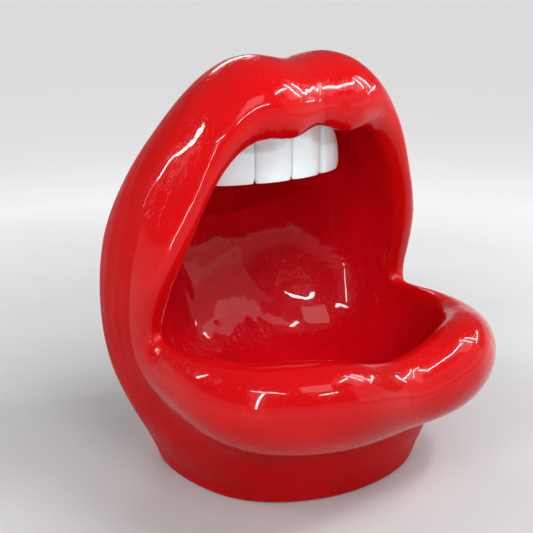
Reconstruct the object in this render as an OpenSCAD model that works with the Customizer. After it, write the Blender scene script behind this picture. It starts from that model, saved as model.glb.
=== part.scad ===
// Open-mouth lips armchair: a hand-laid laminate shell seat that stands on its own plinth.
// Millimetres. The mouth faces -Y, +Z is up, +X is the right-hand side seen from the front.
// The origin is on the floor, in the middle of the width and of the depth.

/* [Overall size] */
// height from the floor to the top of the upper lip
height = 1000; // [900:5:1100]
// width across the widest part of the sides
width = 860; // [774:2:946]
// depth from the front of the lower lip to the back
depth = 854; // [768:2:940]

/* [Laminate] */
// thickness of the lips, shell, plinth and lining
skin = 5; // [4:0.5:7]
// thickness of the tapes that bond the joints from inside
tape = 3; // [2:0.5:4]
// glue line between a tape and the laminate in front of it
glue = 0.8; // [0.4:0.1:1]
// half width of the hairline at each joint, in cage steps
hair = 0.006; // [0.002:0.001:0.01]
// height of the skirt's edge above the floor
lift = 4; // [3:0.5:6]

/* [Teeth] */
// radius of the arch that the tooth fronts follow
arch_r = 380; // [365:1:395]
// distance from the origin back to the centre of that arch
arch_y = 408; // [400:1:415]
// angle taken by each central tooth
central_a = 15.9; // [15:0.1:17]
// angle taken by each lateral tooth
lateral_a = 16.2; // [15:0.1:17]
// height of the biting edge above the floor
bite_z = 699; // [690:1:710]
// height of a central tooth
tooth_h = 132; // [120:1:140]
// thickness of a tooth at its root
tooth_t = 30; // [24:1:34]
// gap between neighbouring teeth at the widest point, as an angle
tooth_gap = 0.2; // [0.1:0.05:0.5]
// thickness of the bar the teeth are screwed to
bar_t = 20; // [16:1:24]
// height of the bar
bar_h = 78; // [60:1:90]

/* [Boards inside] */
// thickness of the base board, the bearer and the webs
ply = 18; // [15:1:21]
// thickness of the spine rib
rib_t = 12; // [9:1:15]
// inset of the base board from the skirt's outline at the floor
board_inset = 10; // [9:0.5:14]
// width of the seat bearer
bearer_w = 260; // [240:5:280]
// front edge of the seat bearer
bearer_front = -170; // [-180:5:-150]
// rear edge of the seat bearer
bearer_back = 60; // [40:5:70]
// height of the seat bearer's top face
bearer_z = 130; // [122:1:132]
// distance of each side web from the middle
web_x = 100; // [90:1:110]

/* [Hardware] */
// diameter of each nylon glide
glide_d = 40; // [36:1:44]
// thickness of each nylon glide
glide_h = 8; // [7:0.5:9]
// distance of the glides from the middle, sideways
glide_x = 210; // [200:2:220]
// how far the rear glides sit behind the middle
glide_back = 190; // [180:2:200]
// how far the front glides sit in front of the middle
glide_front = 150; // [140:2:160]
// radius of a wood screw's shank
screw_r = 2.5; // [2:0.1:3]
// clearance round a screw
screw_c = 0.1; // [0.05:0.05:0.2]

/* [Show] */
// which sub-part to draw

/* [Hidden] */

RED = [0.80, 0.05, 0.06];
DARK_RED = [0.62, 0.03, 0.05];
IVORY = [0.88, 0.90, 0.93];
BIRCH = [0.76, 0.60, 0.40];
GLASS_MAT = [0.72, 0.68, 0.55];
NYLON = [0.13, 0.13, 0.14];
STEEL = [0.70, 0.71, 0.72];

// The cage is set out in centimetres on a body 83.86 wide, 82.97 deep and 97.73 high, and scaled.
kx = width / 83.86;
ky = depth / 82.97;
kz = (height - lift) / 97.73;
mid_y = 3.665;
function place(p) = [p[0] * kx, (p[1] + mid_y) * ky, lift + p[2] * kz];

// Each loop runs round the mouth from the middle of the upper lip (station 0), over the bow
// (1), the shoulder (3), the side (5), the corner (7) and the lower lip's side (8) and lobe
// (10) to its middle (11). The other half is the mirror image.
POLE = [0, 31, 48];
IN0 = [[0, 30, 57], [4, 30, 57], [8, 30, 56.5], [11, 30, 55], [13, 30, 52], [13.5, 30, 49],
  [13, 30, 46], [12, 30, 43], [9, 30, 41], [6, 30, 39], [3, 30, 38], [0, 30, 38]];
IN1 = [[0, 26, 72], [8, 26, 72], [15, 26, 70], [21, 25, 66], [25, 24, 60], [27, 24, 53], [27, 24, 45],
  [25.5, 22, 37], [22, 22.5, 32], [16, 23.5, 28], [8, 24, 27], [0, 24, 27]];
IN2 = [[0, 14, 83], [8, 14, 83], [17, 13, 81], [25, 12, 75], [30, 12, 65], [32, 13, 55], [33, 15, 45],
  [33, 15, 35], [30.5, 12, 24], [24, 11.5, 15.5], [12.5, 12, 13.6], [0, 12, 13.6]];
IN3 = [[0, 3, 86], [8, 3, 86], [16.5, 3, 83.5], [25, 3, 77], [30, 4, 66], [33.5, 6, 55], [35, 8, 44],
  [35, 8, 36], [35, -3, 25], [29.3, -12, 15.5], [15.5, -17, 13.6], [0, -19, 13.6]];
EDGE = [[0, -3.5, 84.5], [7.5, -5, 82], [16, -4, 81.5], [24.4, -2, 74.8], [29.3, -1, 65.5],
  [32.8, 1, 54.5], [35, 3, 43.5], [35.5, 4, 35], [36, -7.5, 31], [30.3, -20.5, 30.5], [15, -29.5, 29.5],
  [0, -31, 28]];
LIP1 = [[0, -8.5, 82.5], [7.5, -12, 76.5], [16, -9.5, 80.5], [24.2, -7.5, 74], [29, -6, 65],
  [32.5, -3, 54], [35.5, 1, 43], [36, 3, 35], [37.5, -8, 36.5], [31, -24, 38.5], [15.5, -36, 41],
  [0, -33.5, 31.5]];
LIP2 = [[0, -12, 87], [9.5, -16, 86], [19, -12, 88], [27.5, -10, 79], [32, -8, 66], [36.4, -5, 54],
  [37.5, 0, 43], [38, 2, 35], [41, -13, 36], [37, -33.5, 36.5], [17.5, -47.5, 38.5], [0, -39.3, 28.8]];
LIP3 = [[0, -7, 93.5], [10.5, -10, 96], [20.5, -8, 93], [28.5, -7, 81], [34, -6, 67], [39.3, -4, 56],
  [40.7, 0, 43], [39.5, 2, 33], [43.5, -12, 28.5], [41.5, -34, 26.5], [18, -49.5, 26],
  [0, -42.5, 24.8]];
BORDER = [[0, 1, 96], [11, 0, 99.8], [21.5, 0, 95.3], [29, 0, 83], [34.5, 0, 70], [40.6, 1, 57],
  [41.7, 3, 43], [41, 5, 31], [42, -8, 25], [38.3, -28, 18.2], [18.5, -43, 17.8], [0, -41, 18]];
OUT1 = [[0, 8, 94], [11, 9, 98.8], [22, 8, 93], [31, 7, 80], [37.5, 7, 70], [41.5, 8, 57], [42, 9, 43],
  [41, 10, 29], [39, -4, 21], [35.5, -23.5, 15.5], [17.5, -34.5, 16], [0, -33.5, 16.5]];
OUT2 = [[0, 18, 90], [11, 19, 91.5], [22, 19, 86], [31, 19, 75.5], [38, 18, 66.5], [42, 18, 54],
  [42.5, 18, 41], [40.5, 18, 27], [39, 1, 14], [34.5, -20.5, 13], [17, -31.8, 13.5], [0, -33, 14]];
OUT3 = [[0, 30, 78], [10, 29, 78], [21, 28, 74], [30, 27, 67], [37, 25, 58], [40, 24, 47],
  [40.5, 23, 36], [39.5, 21, 22], [38, 3, 10], [33, -19.5, 9.5], [16.5, -30.3, 10], [0, -32.5, 10]];
OUT4 = [[0, 39, 56], [10, 38, 56], [20, 36, 53], [29, 32, 48], [34.5, 27.5, 41], [36.5, 25, 33],
  [37.5, 22.5, 25], [36.5, 19.5, 15], [35.8, 2, 6], [31.5, -19, 6], [15.5, -29, 6], [0, -31.3, 6]];
OUT5 = [[0, 38, 28], [9, 37, 28], [18, 34, 26], [26, 29, 23], [29.3, 24.5, 20], [31.8, 21.5, 16],
  [33, 18, 12], [34.3, 13, 7], [33.3, 0.5, 3], [30, -18, 3], [15.2, -28, 3], [0, -30.5, 3]];
FOOT = [[0, 32, 0], [6.8, 31.3, 0], [13.2, 29.8, 0], [19, 27, 0], [23.8, 23.5, 0], [27.5, 19, 0],
  [30.3, 14, 0], [32, 8, 0], [32.2, -3, 0], [28.8, -17.3, 0], [15, -27.3, 0], [0, -29.8, 0]];

// Cubic spline surface over a closed cage.
cols = 22;
function ring(h) = [for (k = [0 : cols - 1]) k < 12 ? place(h[k]) : place([-h[cols - k][0], h[cols - k][1], h[cols - k][2]])];
function cage(first, loops) = let (r = [for (l = loops) ring(l)], n = len(r) - 1)
  concat([first == "pole" ? [for (p = r[0]) 2 * place(POLE) - p] : [for (k = [0 : cols - 1]) 2 * r[0][k] - r[1][k]]],
    first == "pole" ? [[for (p = r[0]) place(POLE)]] : [],
    r,
    [[for (k = [0 : cols - 1]) 2 * r[n][k] - r[n - 1][k]]]);
INNER = cage("pole", [IN0, IN1, IN2, IN3, EDGE]);
OUTER = cage("edge", [EDGE, LIP1, LIP2, LIP3, BORDER, OUT1, OUT2, OUT3, OUT4, OUT5, FOOT]);

function basis(t) = [(1 - t) ^ 3, 3 * t ^ 3 - 6 * t ^ 2 + 4, -3 * t ^ 3 + 3 * t ^ 2 + 3 * t + 1, t ^ 3] / 6;
function slope(t) = [-(1 - t) ^ 2, 3 * t ^ 2 - 4 * t, -3 * t ^ 2 + 2 * t + 1, t ^ 2] / 2;
function blend(q, b, i) = [for (k = [0 : cols - 1]) b[0] * q[i][k] + b[1] * q[i + 1][k] + b[2] * q[i + 2][k] + b[3] * q[i + 3][k]];
function along(r, b, j) = b[0] * r[(j + cols - 1) % cols] + b[1] * r[j] + b[2] * r[(j + 1) % cols] + b[3] * r[(j + 2) % cols];
function unit(a) = a / norm(a);
function turn(u) = u < 0 ? u + cols : u;
// One row of the surface: at height v, a point and an outward normal for every station in us.
function row(q, us, v) = let (i = min(floor(v), len(q) - 4), r = blend(q, basis(v - i), i), d = blend(q, slope(v - i), i))
  [for (u = us) let (w = turn(u), j = floor(w), b = basis(w - j), p = along(r, b, j),
    n = cross(along(r, slope(w - j), j), along(d, b, j)))
    [p, v > 9.99 ? unit([n[0], n[1], 0]) : unit(n)]];
function steps(a, b, n) = concat([a], [for (k = [ceil(a * n + 0.2) : floor(b * n - 0.2)]) k / n], [b]);

// A laminate: the surface between us and vs, from t0 to t1 below its face.
module sheet(q, us, vs, t0, t1) {
  g = [for (v = vs) row(q, us, v)];
  m = len(us);
  n = len(vs);
  s = m * n;
  face = [for (r = g) for (c = r) c[0] - t0 * c[1]];
  back = [for (r = g) for (c = r) c[0] - t1 * c[1]];
  quads = [for (i = [0 : n - 2]) for (j = [0 : m - 2])
    [i * m + j, (i + 1) * m + j, (i + 1) * m + j + 1, i * m + j + 1]];
  lows = [for (j = [0 : m - 2]) [j, j + 1, s + j + 1, s + j]];
  highs = [for (j = [0 : m - 2]) let (k = (n - 1) * m + j) [k + 1, k, s + k, s + k + 1]];
  starts = [for (i = [0 : n - 2]) [(i + 1) * m, i * m, s + i * m, s + (i + 1) * m]];
  ends = [for (i = [0 : n - 2]) let (k = i * m + m - 1) [k, k + m, s + k + m, s + k]];
  all = concat(quads, [for (f = quads) [s + f[0], s + f[3], s + f[2], s + f[1]]], lows, highs, starts, ends);
  polyhedron(points = concat(face, back),
    faces = [for (f = all) for (t = [[f[0], f[1], f[2]], [f[0], f[2], f[3]]]) t], convexity = 12);
}

// The same, closed round the mouth and over the pole.
module bowl(q, us, vs, t) {
  g = [for (v = vs) row(q, us, v)];
  m = len(us);
  n = len(vs);
  s = m * n + 1;
  hub = place(POLE);
  face = concat([hub], [for (r = g) for (c = r) c[0]]);
  back = concat([hub + [0, t, 0]], [for (r = g) for (c = r) c[0] - t * c[1]]);
  fan = [for (j = [0 : m - 1]) [0, 1 + j, 1 + (j + 1) % m]];
  quads = [for (i = [0 : n - 2]) for (j = [0 : m - 1]) let (a = 1 + i * m, k = (j + 1) % m)
    [a + j, a + m + j, a + m + k, a + k]];
  rim = [for (j = [0 : m - 1]) let (a = 1 + (n - 1) * m, k = (j + 1) % m) [a + k, a + j, s + a + j, s + a + k]];
  all = concat(quads, [for (f = quads) [s + f[0], s + f[3], s + f[2], s + f[1]]], rim);
  polyhedron(points = concat(face, back),
    faces = concat(fan, [for (f = fan) [s + f[0], s + f[2], s + f[1]]],
      [for (f = all) for (t = [[f[0], f[1], f[2]], [f[0], f[2], f[3]]]) t]), convexity = 12);
}

// Where the laminates meet: the mouth edge, the lip border, the corners and the plinth's ends.
seam_v = 4.5;
corner_u = 7.25;
side_u = 8;
lip_rows = [0.04, 0.3, 0.6, 0.9, 1.2, 1.5, 1.8, 2.1, 2.4, 2.75, 3.1, 3.45, 3.8, 4.15, seam_v - hair];
out_rows = [seam_v + hair, 4.8, 5.1, 5.4, 5.75, 6.1, 6.45, 6.8, 7.15, 7.5, 7.85, 8.2, 8.6, 9, 9.5, 10];

module rear_shell() {
  color(RED) sheet(OUTER, steps(-side_u + hair, side_u - hair, 4), out_rows, 0, skin);
}
module plinth() {
  color(RED) sheet(OUTER, steps(side_u + hair, cols - side_u - hair, 4), out_rows, 0, skin);
}
module upper_lip() {
  color(RED) sheet(OUTER, steps(-corner_u + 2 * hair, corner_u - 2 * hair, 4), lip_rows, 0, skin);
}
module lower_lip() {
  color(RED) sheet(OUTER, steps(corner_u + 2 * hair, cols - corner_u - 2 * hair, 4), lip_rows, 0, skin);
}
module mouth_lining() {
  color(DARK_RED) bowl(INNER, [for (k = [0 : 4 * cols - 1]) k / 4],
    [0.4, 0.8, 1.2, 1.55, 1.9, 2.25, 2.6, 2.95, 3.3, 3.65, 4, 4.35, 4.65, 4.94], skin);
}

// Laminate tapes behind the joints.
back1 = skin + glue;
back2 = skin + glue + tape;
module border_tape_upper() {
  color(GLASS_MAT) sheet(OUTER, steps(-6.9, 6.9, 4), [4.15, seam_v, 4.8], back1, back2);
}
module border_tape_lower() {
  color(GLASS_MAT) sheet(OUTER, steps(8.4, cols - 8.4, 4), [4.15, seam_v, 4.8], back1, back2);
}
module corner_tape(a) {
  color(GLASS_MAT) sheet(OUTER, [a - 0.25, a, a + 0.25], [2.4, 2.75, 3.1, 3.45, 3.8, 4.1], back1, back2);
}
module corner_tape_right() {
  corner_tape(corner_u);
}
module corner_tape_left() {
  corner_tape(cols - corner_u);
}
module side_tape(a) {
  color(GLASS_MAT) sheet(OUTER, [a - 0.25, a, a + 0.25], [4.9, 5.1, 5.4, 5.75, 6.1, 6.45, 6.8, 7.15, 7.5, 7.85, 8.2, 8.6, 9], back1, back2);
}
module side_tape_right() {
  side_tape(side_u);
}
module side_tape_left() {
  side_tape(cols - side_u);
}

// Teeth: stacked sections on an arch. q runs from -1 to 1 across a tooth, h from 0 to 1 up it.
function arch(a, r) = [r * sin(a), arch_y - r * cos(a)];
heights = [0, 0.025, 0.08, 0.25, 0.45, 0.65, 0.82, 0.94, 1];
across = [-1, -0.96, -0.82, -0.45, 0, 0.45, 0.82, 0.96, 1];
// How far the side of a tooth is from its middle line at height h, 1 being full width.
function waist(h, low, high) = h < low ? 1 - 0.10 * (1 - h / low) ^ 2 : h < high ? 1 : 1 - 0.22 * ((h - high) / (1 - high)) ^ 2;
function crown(h) = sqrt(max(0, 1 - (0.94 * h) ^ 2.2));
function front(q, h) = arch_r - 5 * abs(q) ^ 3 - 4 * abs(q) ^ 14 - 7 * h ^ 3 - 4 * (1 - h) ^ 8;
function rear(h) = arch_r - 10 - (tooth_t - 10) * min(1, h * 1.9) ^ 0.8;
module tooth(a0, a1, top, lateral) {
  mid = (a0 + a1) / 2;
  half = (a1 - a0) / 2 - tooth_gap / 2;
  w = len(across);
  m = 2 * w;
  pts = [for (h = heights) let (
      inner = mid - half * waist(h, 0.12, 0.8),
      outer = lateral ? inner + 2 * half * max(0.16, crown(h)) * waist(h, 0.12, 2) : mid + half * waist(h, 0.12, 0.8))
    for (k = [0 : m - 1]) let (q = k < w ? across[k] : across[m - 1 - k],
      a = (inner + outer) / 2 + q * (outer - inner) / 2,
      p = arch(a, k < w ? front(q, h) : rear(h) - 1.5 * abs(q) ^ 6))
      [p[0], p[1], bite_z + h * top]];
  n = len(heights);
  polyhedron(points = pts, faces = concat(
      [for (e = [0, (n - 1) * m]) for (k = [0 : w - 2]) for (f = [0, 1])
        let (a = e + k, b = e + m - 1 - k, t = f == 0 ? [a, a + 1, b - 1] : [a, b - 1, b])
        e == 0 ? t : [t[2], t[1], t[0]]],
      [for (i = [0 : n - 2]) for (k = [0 : m - 1]) for (f = [0, 1])
        let (a = i * m + k, b = i * m + (k + 1) % m)
        f == 0 ? [a, a + m, b + m] : [a, b + m, b]]), convexity = 6);
}
bar_low = bite_z + 58;
screw_angles = [central_a / 2, central_a + lateral_a * 0.36];
screw_z = bite_z + 88;
bar_r = arch_r - tooth_t - 2;
// One radial screw through the bar and into the back of a tooth.
module tooth_screw(a, extra, reach) {
  translate([0, arch_y, screw_z - (a > central_a ? 12 : 0)])
    rotate([90, 0, a])
      translate([0, 0, bar_r - bar_t - 2])
        cylinder(r = 2.5 + extra, h = bar_t + 2 + reach, $fn = 32);
}
module drilled_tooth(a0, a1, top, lateral, a) {
  color(IVORY) difference() {
    tooth(a0, a1, top, lateral);
    tooth_screw(a, screw_c, 15);
  }
}
module tooth_central_right() {
  drilled_tooth(0, central_a, tooth_h, false, screw_angles[0]);
}
module tooth_central_left() {
  mirror([1, 0, 0]) tooth_central_right();
}
module tooth_lateral_right() {
  drilled_tooth(central_a, central_a + lateral_a, tooth_h - 6, true, screw_angles[1]);
}
module tooth_lateral_left() {
  mirror([1, 0, 0]) tooth_lateral_right();
}
module tooth_bar() {
  color(BIRCH) difference() {
    translate([0, arch_y, bar_low]) rotate([0, 0, -90 - 25.5])
      rotate_extrude(angle = 51, $fn = 96) translate([bar_r - bar_t, 0]) square([bar_t, bar_h]);
    for (s = [0, 1]) mirror([s, 0, 0]) for (a = screw_angles) tooth_screw(a, screw_c, 0);
  }
}
module tooth_screws() {
  color(STEEL) for (s = [0, 1]) mirror([s, 0, 0]) for (a = screw_angles) {
    tooth_screw(a, 0, 14);
    translate([0, arch_y, screw_z - (a > central_a ? 12 : 0)]) rotate([90, 0, a])
      translate([0, 0, bar_r - bar_t - 4]) cylinder(r = 5, h = 3.6, $fn = 32);
  }
}

// Plywood inside the plinth and the back.
foot_row = row(OUTER, [for (k = [0 : 4 * cols - 1]) k / 4], 10);
board_low = glide_h;
board_top = glide_h + ply;
glides = [[glide_x, -glide_front], [-glide_x, -glide_front], [glide_x, glide_back], [-glide_x, glide_back]];
web_low_screws = [[web_x, -110], [web_x, 10], [-web_x, -110], [-web_x, 10], [0, -45]];
module base_board() {
  color(BIRCH) difference() {
    translate([0, 0, board_low]) linear_extrude(ply)
      offset(delta = -board_inset) polygon([for (p = foot_row) [p[0][0], p[0][1]]]);
    for (p = glides) translate([p[0], p[1], board_low - 1]) cylinder(r = 2 + screw_c, h = 16, $fn = 32);
    for (p = web_low_screws) translate([p[0], p[1], board_low]) wood_screw(screw_c, 60);
  }
}
// A countersunk screw, head down at z = 0, pointing up.
module wood_screw(extra, length) {
  translate([0, 0, -0.01]) cylinder(r1 = 5 + extra, r2 = screw_r + extra, h = 3, $fn = 32);
  translate([0, 0, 2.9]) cylinder(r = screw_r + extra, h = length - 2.9 + extra, $fn = 32);
}
module seat_bearer() {
  color(BIRCH) difference() {
    translate([0, (bearer_front + bearer_back) / 2, bearer_z - ply]) linear_extrude(ply)
      offset(r = 20, $fn = 48) square([bearer_w - 40, bearer_back - bearer_front - 40], center = true);
    for (p = web_low_screws) translate([p[0], p[1], bearer_z]) mirror([0, 0, 1]) wood_screw(screw_c, 50);
  }
}
web_low = board_top + 0.3;
web_high = bearer_z - ply - 0.3;
module seat_web(x) {
  color(BIRCH) difference() {
    translate([x - ply / 2, bearer_front + 10, web_low]) cube([ply, bearer_back - bearer_front - 20, web_high - web_low]);
    for (p = web_low_screws) {
      translate([p[0], p[1], board_low]) wood_screw(screw_c, 60);
      translate([p[0], p[1], bearer_z]) mirror([0, 0, 1]) wood_screw(screw_c, 50);
    }
  }
}
module seat_web_right() {
  seat_web(web_x);
}
module seat_web_left() {
  seat_web(-web_x);
}
module seat_web_cross() {
  w = 2 * web_x - ply - 1;
  color(BIRCH) difference() {
    translate([-w / 2, -45 - ply / 2, web_low]) cube([w, ply, web_high - web_low]);
    translate([0, -45, board_low]) wood_screw(screw_c, 60);
    translate([0, -45, bearer_z]) mirror([0, 0, 1]) wood_screw(screw_c, 50);
  }
}
// The rib fills the gap between the lining and the shell on the middle line.
rib_gap = skin + 4;
function section(q, u, v, off) = let (c = row(q, [u], v)[0], p = c[0] - off * c[1]) [p[1], p[2]];
module spine_rib() {
  color(BIRCH) translate([-rib_t / 2, 0, 0]) rotate([90, 0, 90]) linear_extrude(rib_t)
    polygon(concat([for (v = [3.4 : -0.2 : 0.2]) section(INNER, 0, v, rib_gap)],
      [[place(POLE)[1] + rib_gap, place(POLE)[2]]],
      [for (v = [0.2 : 0.2 : 1.8]) section(INNER, 11, v, rib_gap)],
      [for (v = [9 : -0.2 : 5.6]) section(OUTER, 0, v, rib_gap)]));
}

// Glides and screws.
module glide(p) {
  color(NYLON) translate([p[0], p[1], 0]) difference() {
    union() {
      cylinder(r1 = glide_d / 2 - 1.5, r2 = glide_d / 2, h = 1.5, $fn = 64);
      translate([0, 0, 1.5]) cylinder(r = glide_d / 2, h = glide_h - 1.5, $fn = 64);
    }
    translate([0, 0, -1]) cylinder(r = 5.5, h = 5, $fn = 32);
    translate([0, 0, 3]) cylinder(r = 2 + screw_c, h = glide_h, $fn = 32);
  }
}
module glide_front_right() {
  glide(glides[0]);
}
module glide_front_left() {
  glide(glides[1]);
}
module glide_rear_right() {
  glide(glides[2]);
}
module glide_rear_left() {
  glide(glides[3]);
}
module glide_screws() {
  color(STEEL) for (p = glides) translate([p[0], p[1], 0]) {
    translate([0, 0, 1.6]) cylinder(r = 5, h = 2.4, $fn = 32);
    translate([0, 0, 3.9]) cylinder(r = 2, h = 18.5, $fn = 32);
  }
}
module web_screws() {
  color(STEEL) for (p = web_low_screws) {
    translate([p[0], p[1], board_low]) wood_screw(0, 59);
    translate([p[0], p[1], bearer_z]) mirror([0, 0, 1]) wood_screw(0, 49);
  }
}

rear_shell();
plinth();
upper_lip();
lower_lip();
mouth_lining();
tooth_bar();
tooth_central_left();
tooth_central_right();
tooth_lateral_left();
tooth_lateral_right();
tooth_screws();
base_board();
seat_bearer();
seat_web_left();
seat_web_right();
seat_web_cross();
spine_rib();
border_tape_upper();
border_tape_lower();
corner_tape_left();
corner_tape_right();
side_tape_left();
side_tape_right();
glide_front_left();
glide_front_right();
glide_rear_left();
glide_rear_right();
glide_screws();
web_screws();
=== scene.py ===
import math

import bpy
import numpy as np
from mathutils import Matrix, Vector, noise


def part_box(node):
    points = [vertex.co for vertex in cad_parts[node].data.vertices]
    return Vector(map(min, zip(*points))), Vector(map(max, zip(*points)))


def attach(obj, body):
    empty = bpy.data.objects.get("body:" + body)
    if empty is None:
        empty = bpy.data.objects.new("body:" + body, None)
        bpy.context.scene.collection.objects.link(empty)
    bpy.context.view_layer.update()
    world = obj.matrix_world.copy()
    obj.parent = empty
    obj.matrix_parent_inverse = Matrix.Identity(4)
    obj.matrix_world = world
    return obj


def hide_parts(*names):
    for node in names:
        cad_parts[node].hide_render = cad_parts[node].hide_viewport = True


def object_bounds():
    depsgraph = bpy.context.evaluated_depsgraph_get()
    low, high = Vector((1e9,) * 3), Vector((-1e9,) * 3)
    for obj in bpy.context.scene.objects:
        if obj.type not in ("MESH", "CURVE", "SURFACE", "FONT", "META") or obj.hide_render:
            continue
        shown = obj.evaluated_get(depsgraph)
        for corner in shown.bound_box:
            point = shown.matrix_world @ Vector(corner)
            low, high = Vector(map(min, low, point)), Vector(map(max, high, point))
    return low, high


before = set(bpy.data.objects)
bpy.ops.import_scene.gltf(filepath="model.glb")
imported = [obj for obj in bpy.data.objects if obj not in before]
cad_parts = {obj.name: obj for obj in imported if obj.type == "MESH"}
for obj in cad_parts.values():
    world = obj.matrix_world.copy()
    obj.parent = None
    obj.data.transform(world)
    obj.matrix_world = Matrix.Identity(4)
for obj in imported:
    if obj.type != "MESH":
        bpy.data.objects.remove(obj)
CAD_BOX = [[float(c) for c in p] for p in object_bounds()]
LOW, HIGH = CAD_BOX
ROOT = "root"

# ---------------------------------------------------------------- camera
TARGET = Vector((-0.0503, 0.0733, 0.4800))
AZ, EL, FAR, LENS = math.radians(-38), math.radians(16.5), 2.46, 67
cam = bpy.data.objects.new("camera", bpy.data.cameras.new("camera"))
bpy.context.collection.objects.link(cam)
back = Vector((math.sin(AZ) * math.cos(EL), -math.cos(AZ) * math.cos(EL), math.sin(EL)))
cam.location = TARGET + FAR * back
cam.rotation_euler = back.to_track_quat("Z", "Y").to_euler()
cam.data.lens = LENS
cam.data.sensor_width = 36
bpy.context.scene.camera = cam

# ---------------------------------------------------------------- the cage, as in the CAD
# Stations run from the middle of the upper lip (0), over the bow (1), the shoulder (3), the side (5),
# the corner (7), the lower lip's side (8) and lobe (10) to its middle (11); the rest is mirrored.
POLE = (0, 31, 48)
IN0 = [(0, 30, 57), (4, 30, 57), (8, 30, 56.5), (11, 30, 55), (13, 30, 52), (13.5, 30, 49),
       (13, 30, 46), (12, 30, 43), (9, 30, 41), (6, 30, 39), (3, 30, 38), (0, 30, 38)]
IN1 = [(0, 26, 72), (8, 26, 72), (15, 26, 70), (21, 25, 66), (25, 24, 60), (27, 24, 53),
       (27, 24, 45), (25.5, 22, 37), (22, 22.5, 32), (16, 23.5, 28), (8, 24, 27), (0, 24, 27)]
IN2 = [(0, 14, 83), (8, 14, 83), (17, 13, 81), (25, 12, 75), (30, 12, 65), (32, 13, 55),
       (33, 15, 45), (33, 15, 35), (30.5, 12, 24), (24, 11.5, 15.5), (12.5, 12, 13.6),
       (0, 12, 13.6)]
IN3 = [(0, 3, 86), (8, 3, 86), (16.5, 3, 83.5), (25, 3, 77), (30, 4, 66), (33.5, 6, 55),
       (35, 8, 44), (35, 8, 36), (35, -3, 25), (29.3, -12, 15.5), (15.5, -17, 13.6), (0, -19, 13.6)]
EDGE = [(0, -3.5, 84.5), (7.5, -5, 82), (16, -4, 81.5), (24.4, -2, 74.8), (29.3, -1, 65.5),
        (32.8, 1, 54.5), (35, 3, 43.5), (35.5, 4, 35), (36, -7.5, 31), (30.3, -20.5, 30.5),
        (15, -29.5, 29.5), (0, -31, 28)]
LIP1 = [(0, -8.5, 82.5), (7.5, -12, 76.5), (16, -9.5, 80.5), (24.2, -7.5, 74), (29, -6, 65),
        (32.5, -3, 54), (35.5, 1, 43), (36, 3, 35), (37.5, -8, 36.5), (31, -24, 38.5),
        (15.5, -36, 41), (0, -33.5, 31.5)]
LIP2 = [(0, -12, 87), (9.5, -16, 86), (19, -12, 88), (27.5, -10, 79), (32, -8, 66), (36.4, -5, 54),
        (37.5, 0, 43), (38, 2, 35), (41, -13, 36), (37, -33.5, 36.5), (17.5, -47.5, 38.5),
        (0, -39.3, 28.8)]
LIP3 = [(0, -7, 93.5), (10.5, -10, 96), (20.5, -8, 93), (28.5, -7, 81), (34, -6, 67),
        (39.3, -4, 56), (40.7, 0, 43), (39.5, 2, 33), (43.5, -12, 28.5), (41.5, -34, 26.5),
        (18, -49.5, 26), (0, -42.5, 24.8)]
BORDER = [(0, 1, 96), (11, 0, 99.8), (21.5, 0, 95.3), (29, 0, 83), (34.5, 0, 70), (40.6, 1, 57),
          (41.7, 3, 43), (41, 5, 31), (42, -8, 25), (38.3, -28, 18.2), (18.5, -43, 17.8),
          (0, -41, 18)]
OUT1 = [(0, 8, 94), (11, 9, 98.8), (22, 8, 93), (31, 7, 80), (37.5, 7, 70), (41.5, 8, 57),
        (42, 9, 43), (41, 10, 29), (39, -4, 21), (35.5, -23.5, 15.5), (17.5, -34.5, 16),
        (0, -33.5, 16.5)]
OUT2 = [(0, 18, 90), (11, 19, 91.5), (22, 19, 86), (31, 19, 75.5), (38, 18, 66.5), (42, 18, 54),
        (42.5, 18, 41), (40.5, 18, 27), (39, 1, 14), (34.5, -20.5, 13), (17, -31.8, 13.5),
        (0, -33, 14)]
OUT3 = [(0, 30, 78), (10, 29, 78), (21, 28, 74), (30, 27, 67), (37, 25, 58), (40, 24, 47),
        (40.5, 23, 36), (39.5, 21, 22), (38, 3, 10), (33, -19.5, 9.5), (16.5, -30.3, 10),
        (0, -32.5, 10)]
OUT4 = [(0, 39, 56), (10, 38, 56), (20, 36, 53), (29, 32, 48), (34.5, 27.5, 41), (36.5, 25, 33),
        (37.5, 22.5, 25), (36.5, 19.5, 15), (35.8, 2, 6), (31.5, -19, 6), (15.5, -29, 6),
        (0, -31.3, 6)]
OUT5 = [(0, 38, 28), (9, 37, 28), (18, 34, 26), (26, 29, 23), (29.3, 24.5, 20), (31.8, 21.5, 16),
        (33, 18, 12), (34.3, 13, 7), (33.3, 0.5, 3), (30, -18, 3), (15.2, -28, 3), (0, -30.5, 3)]
FOOT = [(0, 32, 0), (6.8, 31.3, 0), (13.2, 29.8, 0), (19, 27, 0), (23.8, 23.5, 0), (27.5, 19, 0),
        (30.3, 14, 0), (32, 8, 0), (32.2, -3, 0), (28.8, -17.3, 0), (15, -27.3, 0), (0, -29.8, 0)]

LIFT = 0.004      # the skirt stands this far above the floor, on the glides
COLS = 22         # columns of the whole cage
CELL = 12         # grid columns to a cage column
SCALE = np.array([(HIGH[0] - LOW[0]) / 83.84, (HIGH[1] - LOW[1]) / 82.90, (HIGH[2] - LIFT) / 97.725])
SHIFT = np.array([0, 3.665 * SCALE[1], LIFT])


def ring(half):
    full = list(half) + [(-x, y, z) for x, y, z in half[-2:0:-1]]
    return np.array(full, float) * SCALE + SHIFT


def cage(loops, pole=None):
    rows = [ring(l) for l in loops]
    first = 2 * rows[0] - rows[1]
    lead = [first]
    if pole is not None:
        p = np.array(pole, float) * SCALE + SHIFT
        lead = [2 * p - rows[0], np.repeat(p[None], COLS, axis=0)]
    return np.array(lead + rows + [2 * rows[-1] - rows[-2]])


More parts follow.
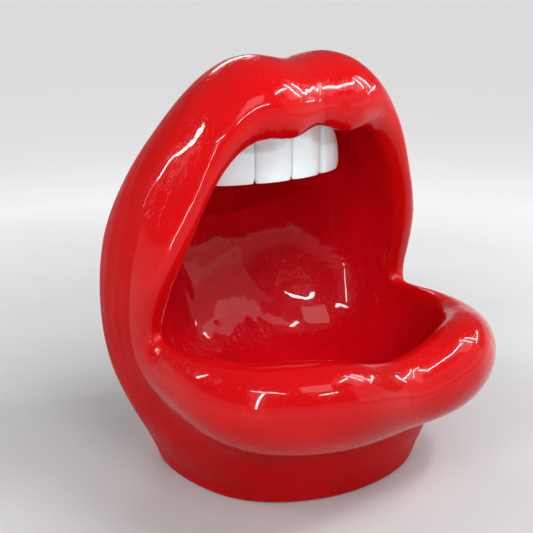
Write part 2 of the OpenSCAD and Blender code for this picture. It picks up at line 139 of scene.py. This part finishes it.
INNER = cage([IN0, IN1, IN2, IN3, EDGE], POLE)
OUTER = cage([EDGE, LIP1, LIP2, LIP3, BORDER, OUT1, OUT2, OUT3, OUT4, OUT5, FOOT])


def weights(ts, count, periodic):
    b = np.zeros((len(ts), count))
    for k, t in enumerate(ts):
        i = int(math.floor(t)) if periodic else min(int(math.floor(t)), count - 4)
        f = t - i
        w = ((1 - f) ** 3, 3 * f ** 3 - 6 * f * f + 4, -3 * f ** 3 + 3 * f * f + 3 * f + 1, f ** 3)
        for n in range(4):
            j = (i - 1 + n) % count if periodic else i + n
            b[k, j] += w[n] / 6
    return b


def surface(q, us, vs):
    return np.einsum("vi,ijk,uj->vuk", weights(vs, len(q), False), q, weights(us, COLS, True))


def grid_normals(p):
    """Outward normals of a grid [v, u, xyz], periodic in u."""
    du = np.roll(p, -1, axis=1) - np.roll(p, 1, axis=1)
    dv = np.gradient(p, axis=0)
    n = np.cross(du, dv)
    return n / np.maximum(np.linalg.norm(n, axis=2, keepdims=True), 1e-12)


def bumps(p, scale, seed, octaves=1):
    """Smooth noise of about -1 to 1 at each point."""
    flat = p.reshape(-1, 3) * scale + np.array([seed * 7.3, seed * 3.1, seed * 5.7])
    out = np.empty(len(flat))
    for k, c in enumerate(flat):
        v = Vector(c)
        out[k] = noise.noise(v) if octaves == 1 else noise.fractal(v, 1.0, 2.1, octaves)
    return out.reshape(p.shape[:2])


def window(t, a, b, soft):
    return np.clip((t - a) / soft, 0, 1) * np.clip((b - t) / soft, 0, 1)


def smooth(x):
    x = np.clip(x, 0, 1)
    return x * x * (3 - 2 * x)


US = np.arange(COLS * CELL) / CELL
V_LIP = np.linspace(0, 4.5, 82)[:-1]
V_OUT = np.linspace(4.5, 10, 67)
V_ALL = np.concatenate([V_LIP, V_OUT])
V_IN = np.concatenate([[0.06], np.linspace(0.15, 5, 66)])
SEAM = len(V_LIP)


def u_side(us):
    """Signed station, -11 to 11, 0 at the middle of the upper lip."""
    return np.where(us > 11, us - 22, us)


def crease(height, p, us, vs, u0, v0, v1, width, depth, lean, curve):
    """Cuts a narrow groove into height, across the lip from v0 to v1 at station u0."""
    du = np.linalg.norm(np.roll(p, -1, axis=1) - np.roll(p, 1, axis=1), axis=2) / (2 / CELL)
    s = u_side(us)[None, :]
    v = vs[:, None]
    f = (v - v0) / (v1 - v0)
    off = s - (u0 + lean * (f - 0.5) + curve * (f - 0.5) ** 2)
    off = np.where(off > 11, off - 22, off)
    reach = np.exp(-((off * du) / width) ** 2)
    fade = smooth(np.clip(f, 0, 1) * 4) * smooth((1 - np.clip(f, 0, 1)) * 4) * ((f > 0) & (f < 1))
    height -= depth * reach * fade


# Each crease: station, v0, v1, width and depth in metres, and how far it leans and curves in stations.
CREASES = [
    # the upper lip's lower edge
    (-2.05, 0.55, 1.75, .0035, .0016, .10, .25), (-1.86, 0.6, 1.8, .0030, .0014, .12, .2),
    (-1.66, 0.6, 1.7, .0032, .0017, .10, .2), (-1.46, 0.55, 1.6, .0028, .0013, .10, .15),
    (-1.24, 0.6, 1.5, .0030, .0012, .08, .1), (-2.3, 0.6, 1.5, .0035, .0012, .08, .2),
    (1.3, 0.6, 1.6, .0030, .0012, -.08, -.1), (1.62, 0.55, 1.7, .0032, .0015, -.1, -.2),
    (1.95, 0.6, 1.6, .0030, .0012, -.1, -.2),
    # its face, with the groove through the bow last
    (-0.55, 2.3, 3.2, .0028, .0010, .05, .1), (0.62, 2.2, 3.3, .0028, .0011, .06, .1),
    (0.78, 2.3, 3.1, .0025, .0009, .06, .1), (-1.55, 2.3, 2.9, .0026, .0009, .05, 0),
    (-0.05, 1.4, 3.6, .0060, .0022, .06, .1),
    # the lower lip
    (-9.55, 1.3, 2.5, .0030, .0011, .05, 0), (-9.95, 1.2, 2.1, .0028, .0011, -.05, 0),
    (-10.5, 1.3, 2.2, .0026, .0009, .04, 0), (10.9, 1.3, 2.4, .0030, .0013, .06, .1),
    (10.75, 1.4, 2.3, .0026, .0010, .06, .1), (10.2, 1.5, 3.6, .0040, .0010, .1, .1),
    (9.6, 1.5, 3.7, .0045, .0010, .1, .1), (9.45, 1.7, 3.6, .0035, .0008, .1, .1),
    (8.4, 1.0, 2.4, .0035, .0010, .05, 0), (-8.5, 1.2, 2.6, .0035, .0010, .05, 0),
    # the corners of the mouth
    (-7.25, 1.4, 3.4, .0040, .0020, .1, .2), (7.25, 1.4, 3.4, .0040, .0020, -.1, -.2),
    (-6.95, 1.8, 3.6, .0035, .0012, .1, .1), (6.95, 1.8, 3.6, .0035, .0012, -.1, -.1),
    (-7.5, 1.8, 3.4, .0035, .0010, .1, .1), (7.5, 1.8, 3.4, .0035, .0010, -.1, -.1),
]


def outer_relief(p):
    """Height of the waves, creases and bands of the lips and the shell, in metres."""
    height = 0.0011 * bumps(p, 8, 1) + 0.0005 * bumps(p, 19, 2)
    height += window(V_ALL, 0.3, 4.3, 0.5)[:, None] * 0.00045 * bumps(p, 34, 3)
    for c in CREASES:
        crease(height, p, US, V_ALL, *c)
    # soft upright bands in the shell just behind the lip border
    s = np.abs(u_side(US))[None, :]
    v = V_ALL[:, None]
    band = window(s, 2.6, 7.4, 1.2) * window(v, 4.5, 6.6, 0.6)
    height += band * 0.0005 * np.sin((v + 0.12 * np.sin(s * 1.7)) * 11)
    # nothing at the edge of the mouth and at the floor
    height *= smooth(V_ALL / 0.25)[:, None]
    height *= smooth((10 - V_ALL) / 0.4)[:, None]
    return height


def inner_relief(p):
    """Height of the waves, dimples and ripples of the lining, in metres."""
    height = 0.0012 * bumps(p * np.array([1.6, 1, 0.45]), 9, 5)
    height += 0.0006 * bumps(p * np.array([1.5, 1, 0.6]), 22, 6)
    height += 0.0005 * np.minimum(0, bumps(p, 30, 7) + 0.35) * 3
    # ripples on the right side
    right = window(p[:, :, 0], 0.24, 0.42, 0.08) * window(p[:, :, 2], 0.32, 0.47, 0.05)
    height += right * 0.0006 * np.sin(p[:, :, 2] * 300 + 4 * bumps(p, 8, 8))
    height *= smooth((5 - V_IN) / 0.25)[:, None] * smooth((V_IN - 0.06) / 0.4)[:, None]
    return height


outer = surface(OUTER, US, V_ALL)
outer = outer + outer_relief(outer)[:, :, None] * grid_normals(outer)
outer_n = grid_normals(outer)
inner = surface(INNER, US, V_IN)
inner = inner + inner_relief(inner)[:, :, None] * grid_normals(inner)
inner_n = grid_normals(inner)


def roll(reach, hard):
    """Lets the lip's shading run on into the lining, over reach cage rows on each side of the edge."""
    edge = outer_n[0] + inner_n[-1]
    edge /= np.linalg.norm(edge, axis=1, keepdims=True)
    for n, ts in ((outer_n, V_ALL), (inner_n, 5 - V_IN)):
        w = (1 - smooth(ts[:, None] / reach[None, :])) * hard[None, :]
        n += w[:, :, None] * (edge[None] - n)
        n /= np.linalg.norm(n, axis=2, keepdims=True)


upper_part = smooth((6.9 - np.abs(u_side(US))) / 1.2)
roll(0.25 + 0.75 * upper_part, 0.5 + 0.5 * upper_part)


def mesh_object(name, verts, faces, normals=None, smooth_all=True):
    """A linked mesh object. normals holds one normal for each vertex."""
    me = bpy.data.meshes.new(name)
    me.from_pydata([tuple(map(float, v)) for v in verts], [], faces)
    me.update()
    if smooth_all:
        me.polygons.foreach_set("use_smooth", [True] * len(me.polygons))
    if normals is not None:
        me.normals_split_custom_set([tuple(map(float, normals[v])) for f in faces for v in f])
    o = bpy.data.objects.new(name, me)
    bpy.context.collection.objects.link(o)
    return o


def skin(name, points, normals, cols, closed, hub=None):
    """A closed laminate, THICK deep, behind a grid of points with normals. cols are the columns it uses."""
    face, face_n = points[:, cols], normals[:, cols]
    rows, m = face.shape[:2]
    verts, norms, faces = [], [], []

    def add(block, block_n):
        start = len(verts)
        verts.extend(block.reshape(-1, 3))
        norms.extend(block_n.reshape(-1, 3))
        return start

    front = add(face, face_n)
    rear = add(face - THICK * face_n, -face_n)
    for i in range(rows - 1):
        for j in range(m if closed else m - 1):
            k = (j + 1) % m
            quad = (i * m + j, i * m + k, (i + 1) * m + k, (i + 1) * m + j)
            faces.append([front + c for c in quad])
            faces.append([rear + c for c in reversed(quad)])

    def rim(edge, loops, away, flip):
        """Joins front and rear along an edge. Its own vertices let the front keep its normals."""
        count = len(edge)
        out = np.array([away / (np.linalg.norm(away) + 1e-9)] * count)
        near = add(np.array([verts[front + c] for c in edge]), out)
        far = add(np.array([verts[rear + c] for c in edge]), out)
        for j in range(count if loops else count - 1):
            k = (j + 1) % count
            quad = [near + j, far + j, far + k, near + k]
            faces.append(quad[::-1] if flip else quad)

    if hub is None:
        rim(list(range(m)), closed, (face[0] - face[1]).mean(axis=0), False)
    rim([(rows - 1) * m + j for j in range(m)], closed, (face[-1] - face[-2]).mean(axis=0), True)
    if not closed:
        rim([i * m for i in range(rows)], False, (face[:, 0] - face[:, 1]).mean(axis=0), True)
        rim([i * m + m - 1 for i in range(rows)], False, (face[:, -1] - face[:, -2]).mean(axis=0), False)
    if hub is not None:
        h = add(np.array([hub, hub + np.array([0, THICK, 0])]), np.array([[0, -1, 0], [0, 1, 0.0]]))
        for j in range(m):
            k = (j + 1) % m
            faces.append([h, front + k, front + j])
            faces.append([h + 1, rear + j, rear + k])
    o = mesh_object(name, verts, faces, np.array(norms))
    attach(o, ROOT)
    return o


def columns(a, b):
    """Grid columns from station a to station b, negative stations being on the left."""
    return [k % len(US) for k in range(round(a * CELL), round(b * CELL) + 1)]


THICK = 0.005               # of every skin
CORNER, SIDE = 7.25, 8.0    # stations where the lips part, and where the shell and the skirt part
mouth, behind = (outer[:SEAM + 1], outer_n[:SEAM + 1]), (outer[SEAM:], outer_n[SEAM:])
upper = skin("lip_upper", *mouth, columns(-CORNER, CORNER), False)
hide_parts("upper_lip")
lower = skin("lip_lower", *mouth, columns(CORNER, COLS - CORNER), False)
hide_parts("lower_lip")
shell = skin("shell_rear", *behind, columns(-SIDE, SIDE), False)
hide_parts("rear_shell")
skirt = skin("skirt", *behind, columns(SIDE, COLS - SIDE), False)
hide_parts("plinth")
hub = np.array(POLE, float) * SCALE + SHIFT
lining = skin("lining", inner, inner_n, list(range(len(US))), True, hub)
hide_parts("mouth_lining")

# ---------------------------------------------------------------- teeth
ARCH_R, ARCH_Y = 0.380, 0.408    # the arch that the teeth stand on, as in the CAD
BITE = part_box("tooth_central_right")[0][2]
TOOTH_T = 0.030      # depth at the root
EDGE_T = 0.010       # depth at the biting edge
TOOTH_GAP = 0.18     # between teeth, in degrees
CENTRAL_H, LATERAL_H = 0.132, 0.126


def tooth_outline(mid, half, h, lateral):
    """Inner and outer angle of a tooth at h of its height. A lateral's outer side is rounded off."""
    if h < .12:
        w = 1 - 0.055 * (1 - h / .12) ** 2
    else:
        w = 1 if h < .8 else 1 - .10 * ((h - .8) / .2) ** 2
    inn = mid - half * w
    if not lateral:
        return inn, mid + half * w
    crown = math.sqrt(max(0, 1 - (0.94 * h) ** 2.2))
    return inn, inn + 2 * half * max(0.16, crown) * (1 - 0.055 * (1 - min(h, .12) / .12) ** 2)


def tooth_radii(q, h):
    """Front and rear radius on the arch, q from -1 to 1 across the tooth."""
    front = ARCH_R - .0045 * abs(q) ** 3 - .0045 * abs(q) ** 12 - .007 * h ** 3 - .0045 * (1 - h) ** 10
    front += 0.0006 * math.cos(q * 5.2) * min(1, h * 3)
    rear = ARCH_R - EDGE_T - (TOOTH_T - EDGE_T) * min(1, h * 1.9) ** .8 - .0015 * abs(q) ** 6
    return front, rear


def tooth(name, node, a0, a1, top, lateral, side):
    """Sections of a tooth from angle a0 to a1, stacked from the biting edge up. side mirrors it."""
    mid, half = (a0 + a1) / 2, (a1 - a0) / 2 - TOOTH_GAP / 2
    hs = np.concatenate([[0, .006, .016, .032, .055], np.linspace(.09, .9, 18), [.93, .96, .985, 1]])
    qs = np.concatenate([[-1, -.992, -.97, -.93], np.linspace(-.86, .86, 15), [.93, .97, .992, 1]])
    verts = []
    for h in hs:
        inn, out = tooth_outline(mid, half, h, lateral)
        for back_side in (False, True):
            for q in (qs[::-1] if back_side else qs):
                ang = math.radians((inn + out) / 2 + q * (out - inn) / 2)
                r = tooth_radii(q, h)[back_side]
                verts.append((side * r * math.sin(ang), ARCH_Y - r * math.cos(ang), BITE + h * top))
    m = 2 * len(qs)
    faces = []
    for i in range(len(hs) - 1):
        for k in range(m):
            n = (k + 1) % m
            faces.append([i * m + k, i * m + n, (i + 1) * m + n, (i + 1) * m + k])
    last = (len(hs) - 1) * m
    for j in range(len(qs) - 1):   # the two ends, as strips between front and back
        faces.append([j, m - 1 - j, m - 2 - j, j + 1])
        faces.append([last + j, last + j + 1, last + m - 2 - j, last + m - 1 - j])
    o = mesh_object(name, verts, faces if side > 0 else [f[::-1] for f in faces])
    mod = o.modifiers.new("edges", "BEVEL")
    mod.width, mod.segments, mod.limit_method, mod.angle_limit = 0.0016, 2, "ANGLE", math.radians(50)
    o.modifiers.new("weighted", "WEIGHTED_NORMAL")
    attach(o, ROOT)
    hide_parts(node)
    return o


CENTRAL, LATERAL = 15.9, 16.2    # degrees of the arch
OUTSIDE = CENTRAL + LATERAL
teeth = [
    tooth("tooth_c_right", "tooth_central_right", 0, CENTRAL, CENTRAL_H, False, 1),
    tooth("tooth_c_left", "tooth_central_left", 0, CENTRAL, CENTRAL_H, False, -1),
    tooth("tooth_l_right", "tooth_lateral_right", CENTRAL, OUTSIDE, LATERAL_H, True, 1),
    tooth("tooth_l_left", "tooth_lateral_left", CENTRAL, OUTSIDE, LATERAL_H, True, -1),
]

# ---------------------------------------------------------------- materials


class Build:
    """A node material with short helpers."""

    def __init__(self, name):
        self.m = bpy.data.materials.new(name)
        self.m.use_nodes = True
        self.t = self.m.node_tree
        self.n = self.t.nodes
        self.b = self.n["Principled BSDF"]
        self.at = self.n.new("ShaderNodeTexCoord").outputs["Object"]

    def link(self, a, b):
        self.t.links.new(a, b)

    def scaled(self, x, y, z, src=None):
        k = self.n.new("ShaderNodeMapping")
        k.inputs["Scale"].default_value = (x, y, z)
        self.link(src or self.at, k.inputs["Vector"])
        return k.outputs["Vector"]

    def noise(self, scale, detail=2.0, rough=0.5, at=None, warp=0.0):
        k = self.n.new("ShaderNodeTexNoise")
        k.inputs["Scale"].default_value = scale
        k.inputs["Detail"].default_value = detail
        k.inputs["Roughness"].default_value = rough
        k.inputs["Distortion"].default_value = warp
        self.link(at or self.at, k.inputs["Vector"])
        return k.outputs["Fac"]

    def map(self, src, a, b, c, d):
        k = self.n.new("ShaderNodeMapRange")
        for i, v in zip(("From Min", "From Max", "To Min", "To Max"), (a, b, c, d)):
            k.inputs[i].default_value = v
        self.link(src, k.inputs["Value"])
        return k.outputs["Result"]

    def maths(self, op, a, b):
        k = self.n.new("ShaderNodeMath")
        k.operation = op
        for i, v in enumerate((a, b)):
            if isinstance(v, (int, float)):
                k.inputs[i].default_value = v
            else:
                self.link(v, k.inputs[i])
        return k.outputs[0]

    def mix(self, fac, a, b):
        k = self.n.new("ShaderNodeMix")
        k.data_type = "RGBA"
        self.link(fac, k.inputs["Factor"])
        for name, v in (("A", a), ("B", b)):
            sock = [i for i in k.inputs if i.name == name and i.type == "RGBA"][0]
            if isinstance(v, tuple):
                sock.default_value = (*v, 1)
            else:
                self.link(v, sock)
        return [o for o in k.outputs if o.type == "RGBA"][0]

    def bump(self, height, distance, strength=1.0, normal=None):
        k = self.n.new("ShaderNodeBump")
        k.inputs["Distance"].default_value = distance
        k.inputs["Strength"].default_value = strength
        self.link(height, k.inputs["Height"])
        if normal is not None:
            self.link(normal, k.inputs["Normal"])
        return k.outputs["Normal"]

    def set(self, **k):
        for name, v in k.items():
            sock = self.b.inputs[name.replace("_", " ").title().replace("Ior", "IOR")]
            if isinstance(v, (int, float)):
                sock.default_value = v
            elif isinstance(v, tuple):
                sock.default_value = (*v, 1)
            else:
                self.link(v, sock)
        return self.m


def lacquer(name, deep, light, rough, wave, peel, coat, spec, streak=0.0, fold=0.0):
    """Red gloss lacquer over hand-laid laminate. wave, peel and fold are bump heights in metres."""
    b = Build(name)
    tone = b.map(b.noise(2.3, 3, 0.55), 0.35, 0.65, 0, 1)
    colour = b.mix(tone, deep, light)
    cloud = b.map(b.noise(11, 4, 0.6, warp=0.4), 0.3, 0.7, 0, 1)
    r = b.map(cloud, 0, 1, rough[0], rough[1])
    if streak:
        run = b.map(b.noise(1.0, 4, 0.6, at=b.scaled(26, 26, 2.2)), 0.45, 0.8, 0, streak)
        r = b.maths("ADD", r, run)
    normal = None
    for scale, detail, grain, warp, height in ((26, 2, 0.45, 0.3, wave), (66, 2, 0.5, 0.6, wave * 0.5),
                                               (135, 1, 0.5, 0.4, wave * 0.13)):
        normal = b.bump(b.noise(scale, detail, grain, warp=warp), height, 1.0, normal)
    if fold:
        upright = b.noise(1.0, 2, 0.5, at=b.scaled(75, 75, 9), warp=0.3)
        normal = b.bump(b.map(upright, 0.5, 0.72, 0, 1), fold, 1.0, normal)
    fine = b.bump(b.noise(330, 1, 0.4), peel, 1.0, normal)
    b.b.inputs["Specular IOR Level"].default_value = spec
    return b.set(base_color=colour, roughness=r, normal=fine, coat_weight=coat, coat_roughness=0.03,
                 coat_ior=1.38, ior=1.45)


LIP = lacquer("lip_lacquer", (0.40, 0.001, 0.002), (0.50, 0.003, 0.004), (0.12, 0.22),
              wave=0.0021, peel=0.00006, coat=0.60, spec=0.04, fold=0.00055)
CAVE = lacquer("cavity_lacquer", (0.43, 0.001, 0.005), (0.54, 0.002, 0.008), (0.12, 0.22),
               wave=0.0027, peel=0.00006, coat=0.55, spec=0.04, fold=0.0006)
SHELL = lacquer("shell_lacquer", (0.37, 0.002, 0.002), (0.46, 0.004, 0.005), (0.30, 0.44),
                wave=0.0012, peel=0.00006, coat=0.04, spec=0.04, streak=0.12)
for o, m, slot in ((upper, LIP, "red_gelcoat"), (lower, LIP, "red_gelcoat"), (shell, SHELL, "red_gelcoat"),
                   (skirt, SHELL, "red_gelcoat"), (lining, CAVE, "dark_red_gelcoat")):
    o.data.materials.append(m)


def enamel():
    b = Build("tooth_gelcoat")
    tone = b.map(b.noise(14, 3, 0.5), 0.3, 0.7, 0, 1)
    colour = b.mix(tone, (0.80, 0.96, 1.0), (0.86, 0.98, 1.0))
    r = b.map(b.noise(30, 3, 0.6), 0.3, 0.7, 0.10, 0.20)
    n1 = b.bump(b.noise(40, 2, 0.5, at=b.scaled(1, 1, 0.35)), 0.0009)
    return b.set(base_color=colour, roughness=r, normal=b.bump(b.noise(300, 1, 0.4), 0.00004, 1.0, n1),
                 coat_weight=0.5, coat_roughness=0.05, ior=1.5, subsurface_weight=0.0)


ENAMEL = enamel()
for o in teeth:
    o.data.materials.append(ENAMEL)


def plywood():
    b = Build("birch_plywood")
    grain = b.noise(18, 6, 0.65, at=b.scaled(1, 9, 9), warp=1.2)
    fig = b.map(grain, 0.35, 0.68, 0, 1)
    colour = b.mix(fig, (0.62, 0.42, 0.23), (0.40, 0.24, 0.11))
    sep = b.n.new("ShaderNodeSeparateXYZ")
    b.link(b.at, sep.inputs[0])
    ply = b.maths("SINE", b.maths("MULTIPLY", sep.outputs[2], 2100), 0)
    edge = b.mix(b.map(ply, -0.2, 0.6, 0, 0.35), colour, (0.30, 0.17, 0.07))
    r = b.map(fig, 0, 1, 0.55, 0.72)
    return b.set(base_color=edge, roughness=r, normal=b.bump(grain, 0.0005))


def laminate():
    b = Build("raw_laminate")
    threads = []
    for axis in ("X", "Z"):
        k = b.n.new("ShaderNodeTexWave")
        k.bands_direction = axis
        k.inputs["Scale"].default_value = 60
        k.inputs["Distortion"].default_value = 1.5
        b.link(b.at, k.inputs["Vector"])
        threads.append(k.outputs["Fac"])
    weave = b.maths("MULTIPLY", *threads)
    colour = b.mix(b.map(b.noise(30, 4, 0.6), 0.3, 0.7, 0, 1), (0.46, 0.41, 0.25), (0.30, 0.26, 0.14))
    return b.set(base_color=colour, roughness=b.map(weave, 0, 1, 0.35, 0.6), normal=b.bump(weave, 0.0006))


def nylon():
    b = Build("nylon")
    tone = b.map(b.noise(60, 3, 0.6), 0.3, 0.7, 0, 1)
    return b.set(base_color=b.mix(tone, (0.018, 0.018, 0.020), (0.035, 0.035, 0.037)),
                 roughness=b.map(tone, 0, 1, 0.42, 0.6), normal=b.bump(b.noise(500, 2, 0.5), 0.0002))


def steel():
    b = Build("zinc_steel")
    tone = b.map(b.noise(90, 3, 0.6), 0.3, 0.7, 0, 1)
    return b.set(base_color=b.mix(tone, (0.50, 0.50, 0.52), (0.64, 0.64, 0.66)), metallic=1.0,
                 roughness=b.map(tone, 0, 1, 0.25, 0.42), normal=b.bump(b.noise(700, 1, 0.5), 0.00008))


def bar_paint():
    b = Build("bar_gelcoat")
    tone = b.map(b.noise(20, 3, 0.6), 0.3, 0.7, 0, 1)
    return b.set(base_color=b.mix(tone, (0.30, 0.006, 0.010), (0.40, 0.010, 0.014)),
                 roughness=b.map(tone, 0, 1, 0.3, 0.5), normal=b.bump(b.noise(120, 3, 0.5), 0.0004))


WOOD, TAPE, NYLON, STEEL, BAR = plywood(), laminate(), nylon(), steel(), bar_paint()
for name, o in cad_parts.items():
    if name == "tooth_bar":
        m = BAR
    elif name in ("base_board", "seat_bearer", "spine_rib") or name.startswith("seat_web"):
        m = WOOD
    elif "tape" in name:
        m = TAPE
    elif name.endswith("_screws"):
        m = STEEL
    elif name.startswith("glide_"):
        m = NYLON
    else:
        continue
    for slot_ in o.material_slots:
        slot_.material = m

# ---------------------------------------------------------------- floor and light
FAR_EDGE = 90     # metres


def paper():
    """Pale floor paper. It glows a little away from the object, so that it stays pale far out."""
    b = Build("floor_paper")
    shade = b.map(b.noise(1.5, 3, 0.5), 0.3, 0.7, 0, 1)
    away = b.n.new("ShaderNodeVectorMath")
    away.operation = "LENGTH"
    b.link(b.at, away.inputs[0])
    b.link(b.map(away.outputs["Value"], 0.5, 3.0, 0.03, 0.60), b.b.inputs["Emission Strength"])
    b.b.inputs["Emission Color"].default_value = (1, 1, 1, 1)
    return b.set(base_color=b.mix(shade, (0.42, 0.42, 0.425), (0.46, 0.46, 0.465)), roughness=0.6,
                 normal=b.bump(b.noise(300, 2, 0.5), 0.0001))


corners = [(x * FAR_EDGE, y * FAR_EDGE, 0) for x, y in ((-1, -1), (1, -1), (1, 1), (-1, 1))]
floor = mesh_object("floor", corners, [(0, 1, 2, 3)], None, False)
floor.data.materials.append(paper())



def studio():
    """A dim room, with haze over the far edge of the floor."""
    world = bpy.data.worlds.new("studio")
    world.use_nodes = True
    nodes, links = world.node_tree.nodes, world.node_tree.links
    where = nodes.new("ShaderNodeTexCoord")
    parts = nodes.new("ShaderNodeSeparateXYZ")
    links.new(where.outputs["Generated"], parts.inputs[0])
    height = nodes.new("ShaderNodeMapRange")
    height.inputs["From Min"].default_value = -1
    height.inputs["From Max"].default_value = 1
    links.new(parts.outputs[2], height.inputs["Value"])
    ramp = nodes.new("ShaderNodeValToRGB")
    stops = ramp.color_ramp.elements
    stops[0].position, stops[0].color = 0.0, (0.42, 0.38, 0.36, 1)
    stops[1].position, stops[1].color = 1.0, (1.0, 1.0, 1.02, 1)
    haze = (2.9, 2.9, 2.9, 1)
    for place, colour in ((0.5, haze), (0.55, haze), (0.60, (0.45, 0.43, 0.43, 1))):
        stops.new(place).color = colour
    links.new(height.outputs["Result"], ramp.inputs["Fac"])
    background = nodes["Background"]
    links.new(ramp.outputs["Color"], background.inputs["Color"])
    background.inputs["Strength"].default_value = 0.24
    return world


bpy.context.scene.world = studio()


def area(name, at, aim, size, size_y, watts):
    """A rectangular lamp at a point, turned towards aim."""
    data = bpy.data.lights.new(name, "AREA")
    data.shape = "RECTANGLE"
    data.size, data.size_y, data.energy = size, size_y, watts
    o = bpy.data.objects.new(name, data)
    bpy.context.collection.objects.link(o)
    o.location = at
    o.rotation_euler = (Vector(at) - Vector(aim)).to_track_quat("Z", "Y").to_euler()


# broad lamps for the soft light
area("key", (-1.0, -2.6, 3.4), (0, 0, 0.5), 1.8, 1.4, 30)
area("fill", (3.4, -3.6, 2.2), (0, 0, 0.6), 4.4, 3.6, 34)
area("high_right", (2.7, -1.9, 3.5), (0, 0, 0.5), 2.4, 1.6, 24)
area("rear", (1.2, 3.0, 2.4), (0, 0, 0.5), 1.6, 0.5, 18)
# narrow lamps for the streaks in the gloss
area("column_a", (1.95, -1.10, 2.75), (0, 0.2, 0.25), 0.10, 1.3, 24)
area("column_b", (2.45, -0.75, 2.45), (0, 0.2, 0.25), 0.10, 1.3, 21)
area("front", (-0.70, -3.30, 2.27), (-0.1, 0, 0.8), 1.3, 0.11, 32)
area("ceiling", (1.05, -1.55, 3.0), (0, 0, 0.5), 1.2, 0.16, 30)
area("left_low", (-2.50, -0.98, 1.25), (-0.3, 0, 0.7), 0.09, 1.6, 28)
area("left_high", (-2.3, -1.0, 2.25), (-0.3, 0, 0.5), 1.2, 0.08, 17)
area("left_back", (-2.2, 1.5, 1.8), (-0.3, 0, 0.7), 0.10, 1.1, 17)
area("right", (2.6, -0.7, 1.7), (0, 0, 0.4), 1.2, 0.10, 11)
bpy.context.scene.view_settings.view_transform = "Standard"
